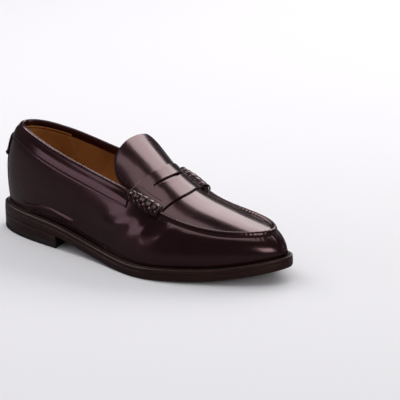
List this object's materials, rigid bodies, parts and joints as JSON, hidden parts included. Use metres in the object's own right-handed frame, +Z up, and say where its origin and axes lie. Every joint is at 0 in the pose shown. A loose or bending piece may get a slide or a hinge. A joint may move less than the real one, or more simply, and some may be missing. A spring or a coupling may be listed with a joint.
{
  "type": "penny loafer",
  "caption": "Man's slip-on leather shoe with a raised-seam apron, a slit strap across the instep, a broad tongue, a folded collar band, a welted leather sole and a low stacked heel.",
  "frame": {"origin": "middle of the bounding box at the level the shoe stands on", "axes": "+X points to the toe, +Y to the inner (medial) side of this right shoe, +Z up"},
  "size_m": [0.3, 0.114, 0.1026],
  "materials": {
    "upper_leather": "very glossy polished dark burgundy, almost black",
    "lining_leather": "matte tan, fine grain",
    "sole_leather": "dark brown, waxed edge",
    "insole_leather": "undyed, matte",
    "stiffener": "stiff leatherboard",
    "top_piece_rubber": "matte black",
    "cork": "pressed cork",
    "shank_steel": "bare spring steel",
    "nail_brass": "worn brass"
  },
  "bodies": {
    "shoe": {"outsole": "sole_leather", "welt": "sole_leather", "cork_filler": "cork", "insole_board": "insole_leather", "sock_liner": "lining_leather", "shank": "shank_steel", "heel_nails": "nail_brass", "heel_top_piece": "top_piece_rubber", "heel_lift_lower": "sole_leather", "heel_lift_upper": "sole_leather", "side_lateral": "upper_leather", "side_medial": "upper_leather", "heel_counter": "stiffener", "toe_puff": "stiffener", "heel_lining": "lining_leather", "quarter_lining_lateral": "lining_leather", "quarter_lining_medial": "lining_leather", "vamp_lining": "lining_leather", "collar_band": "upper_leather", "back_strip": "upper_leather", "heel_tab": "upper_leather", "toe_seam": "upper_leather", "moc_seam": "upper_leather", "strap_wrap_lateral": "upper_leather", "strap_wrap_medial": "upper_leather", "apron": "upper_leather", "apron_lining": "lining_leather", "strap": "upper_leather"},
    "tongue_flap": {"tongue": "upper_leather", "tongue_lining": "lining_leather"}
  },
  "joints": [
    {"name": "tongue_lift", "type": "hinge", "parent": "shoe", "child": "tongue_flap", "pos_m": [0.0155, 0.0045, 0.0825], "axis": [0, 1, 0], "range_deg": [0, 25], "stiffness_Nm_per_rad": 0.05}
  ]
}
